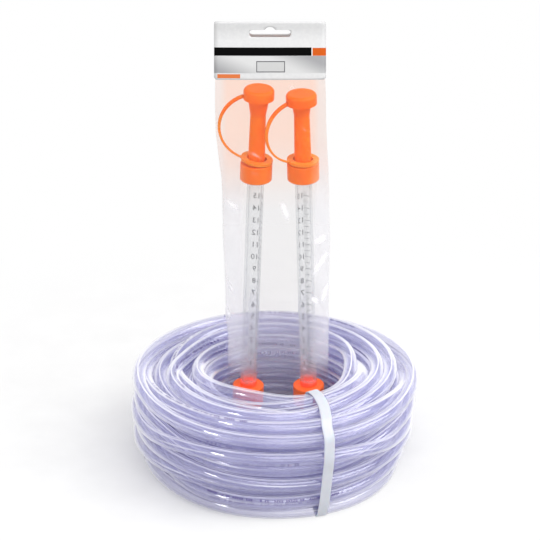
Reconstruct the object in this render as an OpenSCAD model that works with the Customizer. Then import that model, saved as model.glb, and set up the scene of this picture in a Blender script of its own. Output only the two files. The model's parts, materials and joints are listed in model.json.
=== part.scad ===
// Water level hose set: a tied coil of clear hose, with a bagged pair of level
// indicators standing in the coil's eye. The origin is at the middle of the coil's base,
// +Z is up and the front of the bag faces -Y.

/* [Hose] */
// Outer diameter of the hose
hose_d = 10; // [9:0.25:11]
// Wall of the hose
hose_wall = 1; // [0.6:0.1:2]
// Straight length of each free hose end
hose_end_l = 24; // [15:1:40]

/* [Coil] */
// Outer diameter of the coil
coil_d = 212; // [195:1:230]
// Diameter of the coil's eye
eye_d = 98.5; // [94:0.5:106]
// Height of the coil
coil_h = 78; // [70:1:90]
// Corner radius of the bundle, through the middle of its outer turns
bundle_r = 16; // [15:0.5:19]
// Least room allowed between two turns when they are counted
turn_room = 0.7; // [0.7:0.05:1.2]
// How far the first turn starts above the bundle's lower corner
start_rise = 2; // [0:0.5:8]
// Angle of each hose end from the middle of the back
end_angle = 45; // [37.5:7.5:60]

/* [Strap] */
// Width of the tie strap
strap_w = 8; // [6:0.5:12]
// Thickness of the tie strap
strap_t = 0.8; // [0.5:0.1:1]
// Angle of the strap to the right of the front
strap_angle = 22.5; // [20:0.5:25]

/* [Level tube] */
// Outer diameter of the level tube
tube_d = 12.5; // [11:0.25:14]
// Wall of the level tube
tube_wall = 1.25; // [0.8:0.05:2]
// Length of level tube that shows between its two fittings
tube_show = 171; // [150:1:185]
// Depth of the sockets that hold the tube
socket_depth = 9; // [6:0.5:10]
// Thickness of the seal at each end of the tube
seal_t = 1.5; // [1:0.1:2.5]

/* [Fittings] */
// Diameter of the collars
collar_d = 23.5; // [22:0.25:24.5]
// Height of the upper collar
collar_h = 13.4; // [12:0.1:16]
// Height of the lower collar
foot_h = 16; // [13:0.5:20]
// Wall of the collars' skirts
skirt_wall = 1.8; // [1.2:0.1:2.2]
// Thickness of the web that closes each collar
web_t = 2.4; // [1.6:0.1:3]
// Wall of the sleeve round each tube socket
sleeve_wall = 1.6; // [1:0.1:1.8]
// Chamfer on the collars' outer edges
collar_edge = 0.6; // [0.3:0.1:1]
// Length of the hose barb
barb_l = 30; // [26:1:34]
// Pitch of the barb's ridges
barb_pitch = 6; // [5:0.25:7]
// How much a barb ridge is wider than the hose bore
barb_bite = 1; // [0.6:0.1:1.4]
// Bore through the barb
barb_bore = 4.6; // [3.5:0.1:5.2]

/* [Spout] */
// Height of the spout above its collar
spout_l = 52; // [46:1:56]
// Diameter of the spout where it leaves the collar
neck_d = 12.5; // [12:0.1:13.2]
// Diameter of the spout at its waist
waist_d = 11.4; // [10.5:0.1:12]
// Diameter of the spout's rim
rim_d = 14.3; // [13.5:0.1:15.5]
// Height of the flare under the rim
flare_h = 9; // [6:0.5:12]
// Bore of the spout
spout_bore = 8; // [7:0.1:8.6]

/* [Stopper] */
// Diameter of the stopper's head
stopper_d = 22.5; // [20:0.25:23.5]
// Height of the stopper's head
stopper_h = 8; // [7:0.25:10]
// Rounding of the head's top edge
stopper_edge = 2.5; // [1:0.1:3]
// Depth of the hollow that takes the spout's rim
hollow_depth = 5.6; // [4.5:0.1:6]
// Length of the plug inside the stopper
plug_l = 9.5; // [8:0.25:11]
// How far the left stopper stands proud of its seat
left_proud = 4; // [0:0.5:5]
// Travel of a stopper from its seat until its plug is out
stopper_travel = 10; // [8:0.5:11]

/* [Tether] */
// Outer diameter of the tether's ring
ring_d = 23.5; // [21:0.25:24]
// Bore of the tether's ring
ring_bore = 14.6; // [14:0.1:16]
// Thickness of the tether's ring
ring_t = 2; // [1.2:0.1:2.4]
// Tilt of the left ring on its collar
left_ring_tilt = 7; // [0:0.5:8]
// Tilt of the right ring on its collar
right_ring_tilt = 3; // [0:0.5:8]
// Width of the tether
tether_w = 3; // [2:0.25:3.5]
// Thickness of the tether
tether_t = 1.6; // [1.2:0.1:2]
// Reach of the tether's loop from the middle of the spout
tether_reach = 28; // [24:0.5:29]
// Turn of the right tether towards the front
right_tether_turn = 14; // [13:0.5:18]

/* [Standing places] */
// Room between the left indicator's collar and the side of the eye
left_room = 16.5; // [14:0.25:18]
// Place of the left indicator's top across the bag
left_top_x = -11.1; // [-12:0.1:-10]
// Room between the right indicator's collar and the side of the eye
right_room = 10; // [9:0.25:12]
// Place of the right indicator's top across the bag
right_top_x = 19.6; // [19:0.1:21]

/* [Bag] */
// Thickness of the bag's film
film_t = 0.5; // [0.3:0.05:0.7]
// Room between the collars and the film, front and back
bag_room = 2.6; // [2.2:0.1:3]
// Depth of the bag at its bottom seam
seam_depth = 17; // [14:0.5:22]
// Height over which the bag opens out from its bottom seam
seam_rise = 12; // [8:0.5:20]
// How far the bag's mouth reaches up into the card
mouth_tuck = 23; // [15:0.5:25]

/* [Header card] */
// Width of the folded card
card_w = 80; // [79:0.5:86]
// Place of the card's middle across the coil
card_x = -3; // [-3.5:0.25:-2]
// Height of the folded card, upright
card_rise = 38; // [36:0.5:46]
// Thickness of the card
card_t = 0.6; // [0.4:0.05:0.8]
// Room between the stoppers, drawn out, and the card's lower edge
head_room = 7; // [5:0.5:10]
// Length of the hanging slot
slot_w = 30; // [24:0.5:36]
// Height of the hanging slot
slot_h = 5; // [4.6:0.1:6]
// Width of the slot's raised middle
bump_w = 8.6; // [7:0.1:11]
// Rise of the slot's middle
bump_h = 2.2; // [1.5:0.1:3.2]
// Card left above the slot's middle
slot_margin = 3.2; // [3:0.1:5]

/* [Hidden] */
$fn = 96;

// Counts and a quarter turn
quarter = 90;
loop_rings = 24;
hose_sides = 6;
bag_sides = 32;
barb_ridges = 3;

// Clearances and overruns
overrun = 1;
core_clear = 0.95;
strap_clear = 0.4;
strap_lift = 0.2;
socket_clear = 0.1;
rim_clear = 0.3;
plug_clear = 0.1;
ring_lift = 0.15;
tether_clear = 0.3;
stand_clear = 0.4;
bag_lift = 0.4;
eye_clear = 0.3;
side_room = 1.5;
loop_room = 1.2;
card_clear = 0.3;
fold_gap = 0.8;
above_coil = 10;

// The flat under the turns, as a share of the hose diameter
flat_share = 0.1;
// Corner of the strap at the floor, as a share of its upper corner
strap_low_share = 0.6;
// Length of a barb's ramp, as a share of its pitch
ramp_share = 0.75;
// Root of the barb, as a share of the hose bore
root_share = 0.95;
// Chamfer on the plug's tip, as a share of its diameter
plug_tip_share = 0.15;
// Squareness of the bag's section: 2 is an ellipse, more is squarer
bag_power = 3;

// The bundle, through the middle of its outer turns
hose_bore = hose_d - 2 * hose_wall;
turn_in = (eye_d + hose_d) / 2;
turn_out = (coil_d - hose_d) / 2;
turn_low = hose_d / 2 - flat_share * hose_d;
turn_high = coil_h - hose_d / 2;
corner_r = min(bundle_r, (turn_out - turn_in) / 2 - core_clear, (turn_high - turn_low) / 2 - core_clear);
side_l = turn_high - turn_low - 2 * corner_r;
flat_l = turn_out - turn_in - 2 * corner_r;
bend_l = corner_r * PI / 2;
bundle_l = 2 * (side_l + flat_l) + 4 * bend_l;
loops = min(24, floor(bundle_l / (hose_d + turn_room)) - 1);
turn_pitch = bundle_l / (loops + 1);
start_s = side_l - start_rise;
ring_step = 360 / loop_rings;
last_ring = round((360 * (loops + 1) - 2 * end_angle) / ring_step);

// Point of the bundle's outline, as radius and height, s along it from its upper outer corner
function bundle_bend(x, z, angle) = [x + corner_r * cos(angle), z + corner_r * sin(angle)];
function bundle_half(t, near, far, low, high, from) =
    t < side_l ? [near, high + (low - high) * t / side_l]
    : t < side_l + bend_l ? bundle_bend(near + (far > near ? corner_r : -corner_r), low,
        from - quarter * (t - side_l) / bend_l)
    : t < side_l + bend_l + flat_l ? [near + (far > near ? 1 : -1) * (corner_r + t - side_l - bend_l),
        low + (low < high ? -corner_r : corner_r)]
    : bundle_bend(far + (far > near ? -corner_r : corner_r), low,
        from - quarter - quarter * (t - side_l - bend_l - flat_l) / bend_l);
half_l = side_l + flat_l + 2 * bend_l;
bend_low = turn_low + corner_r;
bend_high = turn_high - corner_r;
function bundle_at(s) =
    let (u = s - bundle_l * floor(s / bundle_l))
    u < half_l ? bundle_half(u, turn_out, turn_in, bend_low, bend_high, 0)
    : bundle_half(u - half_l, turn_in, turn_out, bend_high, bend_low, 180);

// The turns: the middle of the hose at each ring, as radius, height and angle
turns = [for (i = [0 : last_ring])
    concat(bundle_at(start_s + turn_pitch * i / loop_rings), [quarter + end_angle + ring_step * i])];
turn_points = [for (t = turns) [t[0] * cos(t[2]), t[0] * sin(t[2]), t[1]]];
first_turn = turns[0];
last_turn = turns[last_ring];

// The strap's place, and the turns' lift over it
strap_at = strap_angle - quarter;
strap_zone = ring_step + asin(strap_w / eye_d);
strap_room = strap_lift + strap_t + strap_clear;
function off_strap(angle) = abs(angle - strap_at - 360 * round((angle - strap_at) / 360));
function turn_floor(angle) = off_strap(angle) < strap_zone ? strap_room : 0;

// One ring of the hose, pushed along the turn by the shift given
function hose_ring(turn, shift) = [for (k = [0 : hose_sides - 1])
    let (a = 360 * k / hose_sides, r = turn[0] + hose_d / 2 * cos(a))
    [r * cos(turn[2]) - shift * sin(turn[2]), r * sin(turn[2]) + shift * cos(turn[2]),
        max(turn_floor(turn[2]), turn[1] + hose_d / 2 * sin(a))]];
hose_rings = concat([hose_ring(first_turn, -hose_d)], [for (t = turns) hose_ring(t, 0)],
    [hose_ring(last_turn, hose_d)]);

// The gap between turns, over all pairs of points half a turn or more apart
turn_gap = min([for (i = [0 : len(turn_points) - 1])
    for (j = [i + loop_rings / 2 : len(turn_points) - 1])
        norm(turn_points[i] - turn_points[j])]) - hose_d;
echo(loops = loops, least_gap_between_turns = turn_gap);

// The indicators, in heights above the tip of their hose barb
foot_top = barb_l + foot_h;
collar_low = foot_top + tube_show;
collar_top = collar_low + collar_h;
rim_top = collar_top + spout_l;
stopper_low = rim_top + rim_clear - hollow_depth;
flare_top = stopper_low;
flare_low = flare_top - flare_h;
socket_d = tube_d + 2 * socket_clear;
sleeve_d = socket_d + 2 * sleeve_wall;
skirt_bore = collar_d - 2 * skirt_wall;
barb_root = root_share * hose_bore;
barb_crest = hose_bore + barb_bite;
loop_mid = (collar_top + stopper_low) / 2;
left_foot_x = left_room + collar_d / 2 - eye_d / 2;
right_foot_x = eye_d / 2 - collar_d / 2 - right_room;
left_lean = atan2(left_top_x - left_foot_x, rim_top);
right_lean = atan2(right_foot_x - right_top_x, rim_top);

// The bag's sections, as height, left edge, right edge and half depth
stand_z = bag_lift + film_t + stand_clear;
bag_half_depth = collar_d / 2 + bag_room + film_t;
bag_left = left_foot_x - collar_d / 2 - side_room - film_t;
bag_right = right_foot_x + collar_d / 2 + side_room + film_t;
loop_axis_x = left_foot_x + loop_mid * tan(left_lean);
loop_left = loop_axis_x - tether_reach - tether_t / 2 - loop_room - film_t;
card_low = stand_z + stopper_low + stopper_h + stopper_travel + head_room;
card_top = card_low + card_rise;
card_flare = bag_half_depth + card_clear;
mouth_z = card_low + mouth_tuck;
function card_gap(z) = fold_gap + (card_flare - fold_gap) * (card_top - z) / card_rise;
card_left = card_x - card_w / 2 + card_clear;
card_right = card_x + card_w / 2 - card_clear;
loop_right = (bag_right + card_right) / 2;
bag_levels = [
    [bag_lift, bag_left, bag_right, seam_depth / 2],
    [bag_lift + seam_rise, bag_left, bag_right, bag_half_depth],
    [coil_h + above_coil, bag_left, bag_right, bag_half_depth],
    [stand_z + loop_mid, loop_left, loop_right, bag_half_depth],
    [stand_z + stopper_low, (loop_left + card_left) / 2, (loop_right + card_right) / 2, bag_half_depth],
    [card_low, card_left, card_right, bag_half_depth],
    [mouth_z, card_left, card_right, card_gap(mouth_z) - card_clear]];

// A squared oval from its left to its right edge, point by point
function squared(v) = sign(v) * pow(abs(v), 2 / bag_power);
function oval(left, right, half_d) = [for (k = [0 : bag_sides - 1])
    [(left + right) / 2 + (right - left) / 2 * squared(cos(360 * k / bag_sides)),
        half_d * squared(sin(360 * k / bag_sides))]];

// The bag leans back in the eye until its side edges meet the turns
eye_reach = eye_d / 2 * cos(ring_step / 2) - eye_clear;
bag_y = min([for (p = oval(bag_left, bag_right, bag_half_depth))
    sqrt(eye_reach * eye_reach - p[0] * p[0]) - p[1]]);

// Triangles between rings of points laid one after another
function skin(rings, sides) = [for (i = [0 : rings - 2]) for (k = [0 : sides - 1])
    let (a = i * sides + k, b = i * sides + (k + 1) % sides)
    each [[a, b, b + sides], [a, b + sides, a + sides]]];
function fan(first, sides, up) = [for (k = [1 : sides - 2])
    up ? [first, first + k + 1, first + k] : [first, first + k, first + k + 1]];
function flip(faces) = [for (f = faces) [f[2], f[1], f[0]]];
function joined(rings) = [for (r = rings) each r];

// Shapes that several pieces use

// A rectangle of radius and height with true round corners
module round_profile(r0, r1, z0, z1, low_r, high_r) {
    translate([r0, z0 + low_r]) square([r1 - r0, z1 - z0 - low_r - high_r]);
    translate([r0 + low_r, z0]) square([r1 - r0 - 2 * low_r, z1 - z0 - high_r]);
    translate([r0 + high_r, z0 + low_r]) square([r1 - r0 - 2 * high_r, z1 - z0 - low_r]);
    for (x = [r0 + low_r, r1 - low_r]) translate([x, z0 + low_r]) circle(low_r);
    for (x = [r0 + high_r, r1 - high_r]) translate([x, z1 - high_r]) circle(high_r);
}

module on_left() {
    translate([left_foot_x, bag_y, stand_z]) rotate([0, left_lean, 0]) children();
}

module on_right() {
    translate([right_foot_x, bag_y, stand_z]) rotate([0, -right_lean, 0]) children();
}

// The coil

module hose_winding() {
    color("lavender") polyhedron(joined(hose_rings), concat(
        skin(len(hose_rings), hose_sides),
        fan(0, hose_sides, true),
        fan((len(hose_rings) - 1) * hose_sides, hose_sides, false)));
}

module hose_core() {
    inset = hose_d / 2 + core_clear;
    color("lightsteelblue") rotate_extrude()
        round_profile(turn_in + inset, turn_out - inset, turn_low + inset, turn_high - inset,
            corner_r - inset, corner_r - inset);
}

module hose_stub() {
    difference() {
        cylinder(h = hose_end_l, d = hose_d);
        translate([0, 0, -overrun]) cylinder(h = hose_end_l + 2 * overrun, d = hose_bore);
    }
}

module hose_end_a() {
    color("lavender") rotate([0, 0, first_turn[2]])
        translate([first_turn[0], -hose_d, first_turn[1]]) rotate([90, 0, 0]) hose_stub();
}

module hose_end_b() {
    color("lavender") rotate([0, 0, last_turn[2]])
        translate([last_turn[0], hose_d, last_turn[1]]) rotate([-90, 0, 0]) hose_stub();
}

module strap_band() {
    in = eye_d / 2 * cos(ring_step / 2) - strap_clear;
    out = coil_d / 2 + strap_clear;
    low = strap_lift + strap_t;
    high = coil_h + strap_clear;
    high_r = corner_r + hose_d / 2 + strap_clear;
    low_r = strap_low_share * high_r;
    color("white") intersection() {
        rotate_extrude() difference() {
            round_profile(in - strap_t, out + strap_t, strap_lift, high + strap_t,
                low_r + strap_t, high_r + strap_t);
            round_profile(in, out, low, high, low_r, high_r);
        }
        rotate([0, 0, strap_at]) translate([0, -strap_w / 2, 0]) cube([coil_d, strap_w, coil_h + hose_d]);
    }
}

// The bag and its card

module bag_film() {
    outer = [for (l = bag_levels) [for (p = oval(l[1], l[2], l[3])) [p[0], p[1], l[0]]]];
    inner = [for (l = bag_levels) [for (p = oval(l[1] + film_t, l[2] - film_t, l[3] - film_t))
        [p[0], p[1], max(l[0], bag_lift + film_t)]]];
    down = [for (i = [len(inner) - 1 : -1 : 0]) inner[i]];
    rings = concat(outer, down);
    color("aliceblue") translate([0, bag_y, 0]) polyhedron(joined(rings), flip(concat(
        skin(len(rings), bag_sides),
        fan(0, bag_sides, true),
        fan((len(rings) - 1) * bag_sides, bag_sides, false))));
}

module hanging_slot() {
    slot_high = card_top - slot_margin - bump_h;
    slot_mid = slot_high - slot_h / 2;
    square_w = slot_w - slot_h;
    translate([-square_w / 2, slot_mid - slot_h / 2]) square([square_w, slot_h]);
    for (x = [-square_w / 2, square_w / 2]) translate([x, slot_mid]) circle(d = slot_h);
    intersection() {
        translate([0, slot_high + bump_h - bump_w / 2]) circle(d = bump_w);
        translate([-bump_w / 2, slot_mid]) square([bump_w, slot_h]);
    }
}

module header_card() {
    fold = [[-card_flare - card_t, card_low], [-fold_gap - card_t, card_top],
        [fold_gap + card_t, card_top], [card_flare + card_t, card_low], [card_flare, card_low],
        [fold_gap, card_top - card_t], [-fold_gap, card_top - card_t], [-card_flare, card_low]];
    reach = card_flare + card_t + overrun;
    color("whitesmoke") translate([card_x, bag_y, 0]) difference() {
        translate([-card_w / 2, 0, 0]) rotate([90, 0, 90]) linear_extrude(card_w) polygon(fold);
        translate([0, reach, 0]) rotate([90, 0, 0]) linear_extrude(2 * reach) hanging_slot();
    }
}

// The indicators, each piece in heights above the tip of its hose barb

module tube() {
    low = foot_top - socket_depth + seal_t;
    high = collar_low + socket_depth - seal_t;
    translate([0, 0, low]) difference() {
        cylinder(h = high - low, d = tube_d);
        translate([0, 0, -overrun]) cylinder(h = high - low + 2 * overrun, d = tube_d - 2 * tube_wall);
    }
}

module seal(z) {
    translate([0, 0, z]) difference() {
        cylinder(h = seal_t, d = tube_d);
        translate([0, 0, -overrun]) cylinder(h = seal_t + 2 * overrun, d = tube_d - 2 * tube_wall);
    }
}

module spout_cap() {
    rotate_extrude() polygon([
        [collar_d / 2 - collar_edge, collar_low], [collar_d / 2, collar_low + collar_edge],
        [collar_d / 2, collar_top - collar_edge], [collar_d / 2 - collar_edge, collar_top],
        [neck_d / 2, collar_top], [waist_d / 2, flare_low], [rim_d / 2, flare_top],
        [rim_d / 2, rim_top], [spout_bore / 2, rim_top],
        [spout_bore / 2, collar_low + socket_depth], [socket_d / 2, collar_low + socket_depth],
        [socket_d / 2, collar_low], [sleeve_d / 2, collar_low], [sleeve_d / 2, collar_top - web_t],
        [skirt_bore / 2, collar_top - web_t], [skirt_bore / 2, collar_low]]);
}

module hose_fitting() {
    ridges = [for (i = [0 : barb_ridges - 1]) each [
        [barb_root / 2, i * barb_pitch],
        [barb_crest / 2, (i + ramp_share) * barb_pitch],
        [barb_root / 2, (i + ramp_share) * barb_pitch]]];
    floor_z = foot_top - socket_depth - web_t;
    rotate_extrude() polygon(concat([[barb_bore / 2, 0]], ridges, [
        [barb_root / 2, floor_z], [sleeve_d / 2, floor_z], [sleeve_d / 2, foot_top - web_t],
        [skirt_bore / 2, foot_top - web_t], [skirt_bore / 2, barb_l],
        [collar_d / 2 - collar_edge, barb_l], [collar_d / 2, barb_l + collar_edge],
        [collar_d / 2, foot_top - collar_edge], [collar_d / 2 - collar_edge, foot_top],
        [socket_d / 2, foot_top], [socket_d / 2, foot_top - socket_depth],
        [barb_bore / 2, foot_top - socket_depth]]));
}

module stopper(proud) {
    plug_d = spout_bore - 2 * plug_clear;
    plug_tip = plug_tip_share * plug_d;
    translate([0, 0, stopper_low + proud]) {
        difference() {
            rotate_extrude() {
                square([stopper_d / 2, stopper_h - stopper_edge]);
                square([stopper_d / 2 - stopper_edge, stopper_h]);
                translate([stopper_d / 2 - stopper_edge, stopper_h - stopper_edge])
                    intersection() {
                        circle(stopper_edge);
                        square(stopper_edge);
                    }
            }
            translate([0, 0, -overrun])
                cylinder(h = hollow_depth + overrun, d = rim_d + 2 * rim_clear);
        }
        translate([0, 0, hollow_depth - plug_l + plug_tip]) cylinder(h = plug_l - plug_tip, d = plug_d);
        translate([0, 0, hollow_depth - plug_l])
            cylinder(h = plug_tip, d1 = plug_d - 2 * plug_tip, d2 = plug_d);
    }
}

module tether_ring(tilt) {
    translate([ring_d / 2, 0, collar_top + ring_lift]) rotate([0, tilt, 0])
        translate([-ring_d / 2, 0, 0]) difference() {
            cylinder(h = ring_t, d = ring_d);
            translate([0, 0, -overrun]) cylinder(h = ring_t + 2 * overrun, d = ring_bore);
        }
}

// The tether's loop is one arc, from the ring's far edge to the stopper's lower edge
module tether_strap(tilt, proud) {
    end_x = max(ring_d, stopper_d) / 2 + tether_clear;
    low = collar_top + ring_lift + ring_d * sin(tilt) + ring_t / 2;
    high = stopper_low + proud + tether_t;
    half = (high - low) / 2;
    sag = tether_reach - end_x;
    bend = (half * half + sag * sag) / (2 * sag);
    sweep = atan2(half, bend - sag);
    translate([bend - tether_reach, 0, low + half]) rotate([90, 0, 0]) rotate([0, 0, 180 - sweep])
        rotate_extrude(angle = 2 * sweep)
            translate([bend - tether_t / 2, -tether_w / 2]) square([tether_t, tether_w]);
}

module left_tube() {
    color("white") on_left() tube();
}

module left_spout_cap() {
    color("orangered") on_left() spout_cap();
}

module left_top_seal() {
    color("dimgray") on_left() seal(collar_low + socket_depth - seal_t);
}

module left_tether_ring() {
    color("darkorange") on_left() tether_ring(left_ring_tilt);
}

module left_tether_strap() {
    color("darkorange") on_left() tether_strap(left_ring_tilt, left_proud);
}

module left_stopper() {
    color("orangered") on_left() stopper(left_proud);
}

module left_hose_fitting() {
    color("orangered") on_left() hose_fitting();
}

module left_bottom_seal() {
    color("dimgray") on_left() seal(foot_top - socket_depth);
}

module right_tube() {
    color("white") on_right() tube();
}

module right_spout_cap() {
    color("orangered") on_right() spout_cap();
}

module right_top_seal() {
    color("dimgray") on_right() seal(collar_low + socket_depth - seal_t);
}

module right_tether_ring() {
    color("darkorange") on_right() rotate([0, 0, right_tether_turn]) tether_ring(right_ring_tilt);
}

module right_tether_strap() {
    color("darkorange") on_right() rotate([0, 0, right_tether_turn]) tether_strap(right_ring_tilt, 0);
}

module right_stopper() {
    color("orangered") on_right() stopper(0);
}

module right_hose_fitting() {
    color("orangered") on_right() hose_fitting();
}

module right_bottom_seal() {
    color("dimgray") on_right() seal(foot_top - socket_depth);
}

hose_winding();
hose_core();
hose_end_a();
hose_end_b();
strap_band();
bag_film();
header_card();
left_tube();
left_spout_cap();
left_top_seal();
left_tether_ring();
left_tether_strap();
left_stopper();
left_hose_fitting();
left_bottom_seal();
right_tube();
right_spout_cap();
right_top_seal();
right_tether_ring();
right_tether_strap();
right_stopper();
right_hose_fitting();
right_bottom_seal();
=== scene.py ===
"""Looks of a water level hose set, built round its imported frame.

A tied coil of clear hose lies on the floor, and a bagged pair of level indicators stands in its eye.
Lengths are millimetres until a mesh is made, and metres after that. A name that ends in _M is in metres.
"""
import json
import math

import bmesh
import bpy
import numpy as np
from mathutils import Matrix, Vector, noise


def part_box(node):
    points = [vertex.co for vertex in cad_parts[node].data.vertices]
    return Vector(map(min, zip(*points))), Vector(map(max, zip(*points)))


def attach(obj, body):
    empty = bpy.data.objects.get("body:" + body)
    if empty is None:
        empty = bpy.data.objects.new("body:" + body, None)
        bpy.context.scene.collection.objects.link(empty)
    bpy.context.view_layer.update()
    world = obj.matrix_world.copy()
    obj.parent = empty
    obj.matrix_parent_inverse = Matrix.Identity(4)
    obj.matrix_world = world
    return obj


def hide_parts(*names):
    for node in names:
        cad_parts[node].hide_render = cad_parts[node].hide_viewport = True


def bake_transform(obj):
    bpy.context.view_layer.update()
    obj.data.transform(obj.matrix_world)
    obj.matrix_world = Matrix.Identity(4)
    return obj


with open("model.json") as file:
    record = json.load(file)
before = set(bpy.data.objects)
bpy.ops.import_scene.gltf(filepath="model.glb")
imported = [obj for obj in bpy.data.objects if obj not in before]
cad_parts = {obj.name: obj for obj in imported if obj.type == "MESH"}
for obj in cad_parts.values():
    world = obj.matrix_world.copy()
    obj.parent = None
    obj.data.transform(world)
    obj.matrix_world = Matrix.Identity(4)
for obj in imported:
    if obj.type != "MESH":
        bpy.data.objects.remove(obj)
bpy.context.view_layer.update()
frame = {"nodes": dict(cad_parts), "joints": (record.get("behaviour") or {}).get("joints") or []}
scene = bpy.context.scene
MM = 0.001
SIDES = ("left", "right")

# Camera
CAMERA_ELEVATION = 26.5
CAMERA_DISTANCE = 2200
CAMERA_TARGET = (-3, 0, 154)
CAMERA_LENS = 199.5
SENSOR_W = 36
CLIP_END_M = 50

# Hose and coil, as in the solids: radii and heights are of the middle of the hose
HOSE_D = 10
HOSE_WALL = 1
TURN_IN = 54.25
TURN_OUT = 101
TURN_LOW = 4
TURN_HIGH = 73
BUNDLE_R = 16
LEAST_CORNER = 1
CORNER_POINTS = 9
TURN_PITCH = 10.7385
START_S = 35
START_AZIMUTH = 135
STUB_L = 34
STUB_STEPS = 8
PLANES = 60
HOSE_SIDES = 14

# Turns in the two inner layers and in the outer one, and the distance between layers
INNER_TURNS = 22
OUTER_TURNS = 18.75
LAYER_STEP = 9.3

# The inner layers: a place along the outline, the turn that passes it, and the turns that go once round
THIRD_S = 27
THIRD_TURN = 8.2
THIRD_ROUND = 8
SECOND_S = 30
SECOND_ROUND = 13.6

# Turns between which the hose passes on to the third, the second and the outer layer
TO_THIRD = (0.10, 0.80)
TO_SECOND = (8.2, 8.9)
TO_OUTER = (INNER_TURNS - 0.1, INNER_TURNS + 0.5)

# Pairs of neighbouring outer turns that cross: the first turn, the azimuths at which they cross over and
# back, and 1 where the first one lies on top
CROSSINGS = [(14, 190, 352, 1), (16, 222, 318, -1), (12, 178, 300, 1), (10, 250, 372, -1), (7, 160, 330, 1)]
CROSS_SPAN = 55
CROSS_LIFT = 6

# Relaxing: shares by which a point is drawn to its place, to its neighbours and off other turns, and limits
SEED = 7
RELAX_STEPS = 260
PULL_SHARE = 0.06
EASE_SHARE = 0.35
EASE_ROUNDS = 2
PUSH_SHARE = 0.45
PUSH_MOST = 1.2
SPACE_SHARE = 1.004
LAST_EASE_SHARE = 0.5
LAST_EASE_ROUNDS = 5
HELD_POINTS = 4
SLOW_DRIFT = 0.9
QUICK_DRIFT = 0.45
ROOM_IN = 1
ROOM_OUT = 3
FAR_OFF = 1e4
FAR_STEP = 100

# How the photographed coil differs from a round one
EYE_SHIFT = 3
WAIST = 5.5
WAIST_SKEW = 1
WAIST_Z = 48
WAIST_SPAN = 20
TOP_TILT = 3.2
TILT_Z = 25
TILT_SPAN = 35

# Strap, with its angles to the right of the front at the bundle's corners
STRAP_W = 8
STRAP_T = 0.7
STRAP_AZIMUTH = -67.5
STRAP_ANGLES = {"in_high": 31.5, "out_high": 22.0, "out_low": 19.8, "in_low": 26.0}
STRAP_REACH = 9
STRAP_GAP = 0.15
STRAP_LIFT = 0.05
STRAP_STEPS = 160
STRAP_EASE_ROUNDS = 3
STRAP_SHARES = (-0.5, -0.47, -0.25, 0, 0.25, 0.47, 0.5)
STRAP_EDGE_SHARES = (0.4, 0.6)
RIM_POINTS = 24

# Indicators, in heights above the tip of the hose barb
TUBE_R = 6.25
TUBE_MID = 131.5
STOPPER_LOW = 277.1
LEFT_PROUD = 4

# Tethers: each loops from a ring on the spout to just above the stopper's lower edge
TETHER_TURN = {"left": 0, "right": 22}
TETHER_LOW = {"left": 234.4, "right": 232.8}
TETHER_REACH = 28
TETHER_END = 11.2
TETHER_JOIN = 1.4
TETHER_THICK = (1.5, 2.7)
TETHER_WIDE = (2.4, 3.0)
TETHER_SWELL_SHARES = (1.3, -0.1)
TETHER_STEPS = 48
TETHER_SIDES = 12
TETHER_POWER = 0.7

# Printed scale
SCALE_ZERO = 50.5
SCALE_COUNT = 15
DIGIT_SIZE = 6.0
DIGIT_BOLD = 0.10
DIGIT_X = 2.6
TICK_X = 0.2
TICK_LENGTHS = {10: 5.0, 5: 3.8, 1: 2.6}
TICK_WIDTHS = {10: 0.5, 5: 0.42, 1: 0.22}
TICK_STEPS = 5
TICK_FIRST = 2
TICK_PAST = 3
PRINT_TURN = {"left": -4.0, "right": 0.3}
PRINT_LIFT = 0.06
PRINT_T = 0.04

# Card: one folded leaf with a hanging slot
CARD_X = -3
CARD_W = 80
CARD_T = 0.6
CARD_LOW = 303.4
CARD_TOP = 341.4
CARD_BOW = 0.6
CARD_CORNER = 1.6
FOLD_R = 0.9
CARD_SHARES = (0, 0.3, 0.55, 0.72, 0.86, 1)
CARD_DEPTHS = (15.45, 11.2, 6.8, 3.0, 1.3, FOLD_R)
CARD_ROWS = 26
CARD_COLUMNS = 24
CARD_EASE_ROUNDS = 4
FOLD_POINTS = 9
SLOT_W = 30
SLOT_H = 5
SLOT_MID = 333.5
SLOT_POINTS = 11
BUMP_W = 8.6
BUMP_H = 2.2
BUMP_POINTS = 13
CUT_REACH = 30

# Bag: a sleeve of film, with its edges and half depths at some heights
BAG_X = 3
BAG_Y = 20.6477
BAG_LEVELS = (0.4, 12.4, 88, 105, 172, 222, 255.05, 278.4, 303.4, 318)
BAG_LEFT = (-34.4, -34.4, -34.75, -36.4, -37.6, -38.4, -42.6, -42.65, -42.4, -42.2)
BAG_RIGHT = (40.6, 40.6, 41.25, 41.5, 41, 39.8, 38.6, 37.6, 36.4, 36.2)
BAG_HALF_DEPTH = (8.3, 14.3, 14.85, 14.85, 14.85, 14.85, 14.85, 14.85, 14.3, 8.2)
BAG_ROWS = 150
BAG_COLUMNS = 132
BAG_POWER = 3
FILM_T = 0.25

# The bag's wrinkles: depths of its swells and creases, and where the film hangs free of eye and card
SWELL = 1.3
SHARP_CREASE = 1.5
FINE_CREASE = 0.8
EDGE_WANDER = 0.8
CREASE_NARROW = 2.2
FREE_Z = 70
FREE_SPAN = 30
CARD_GRIP = 2
CARD_GRIP_SPAN = 12

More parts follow.
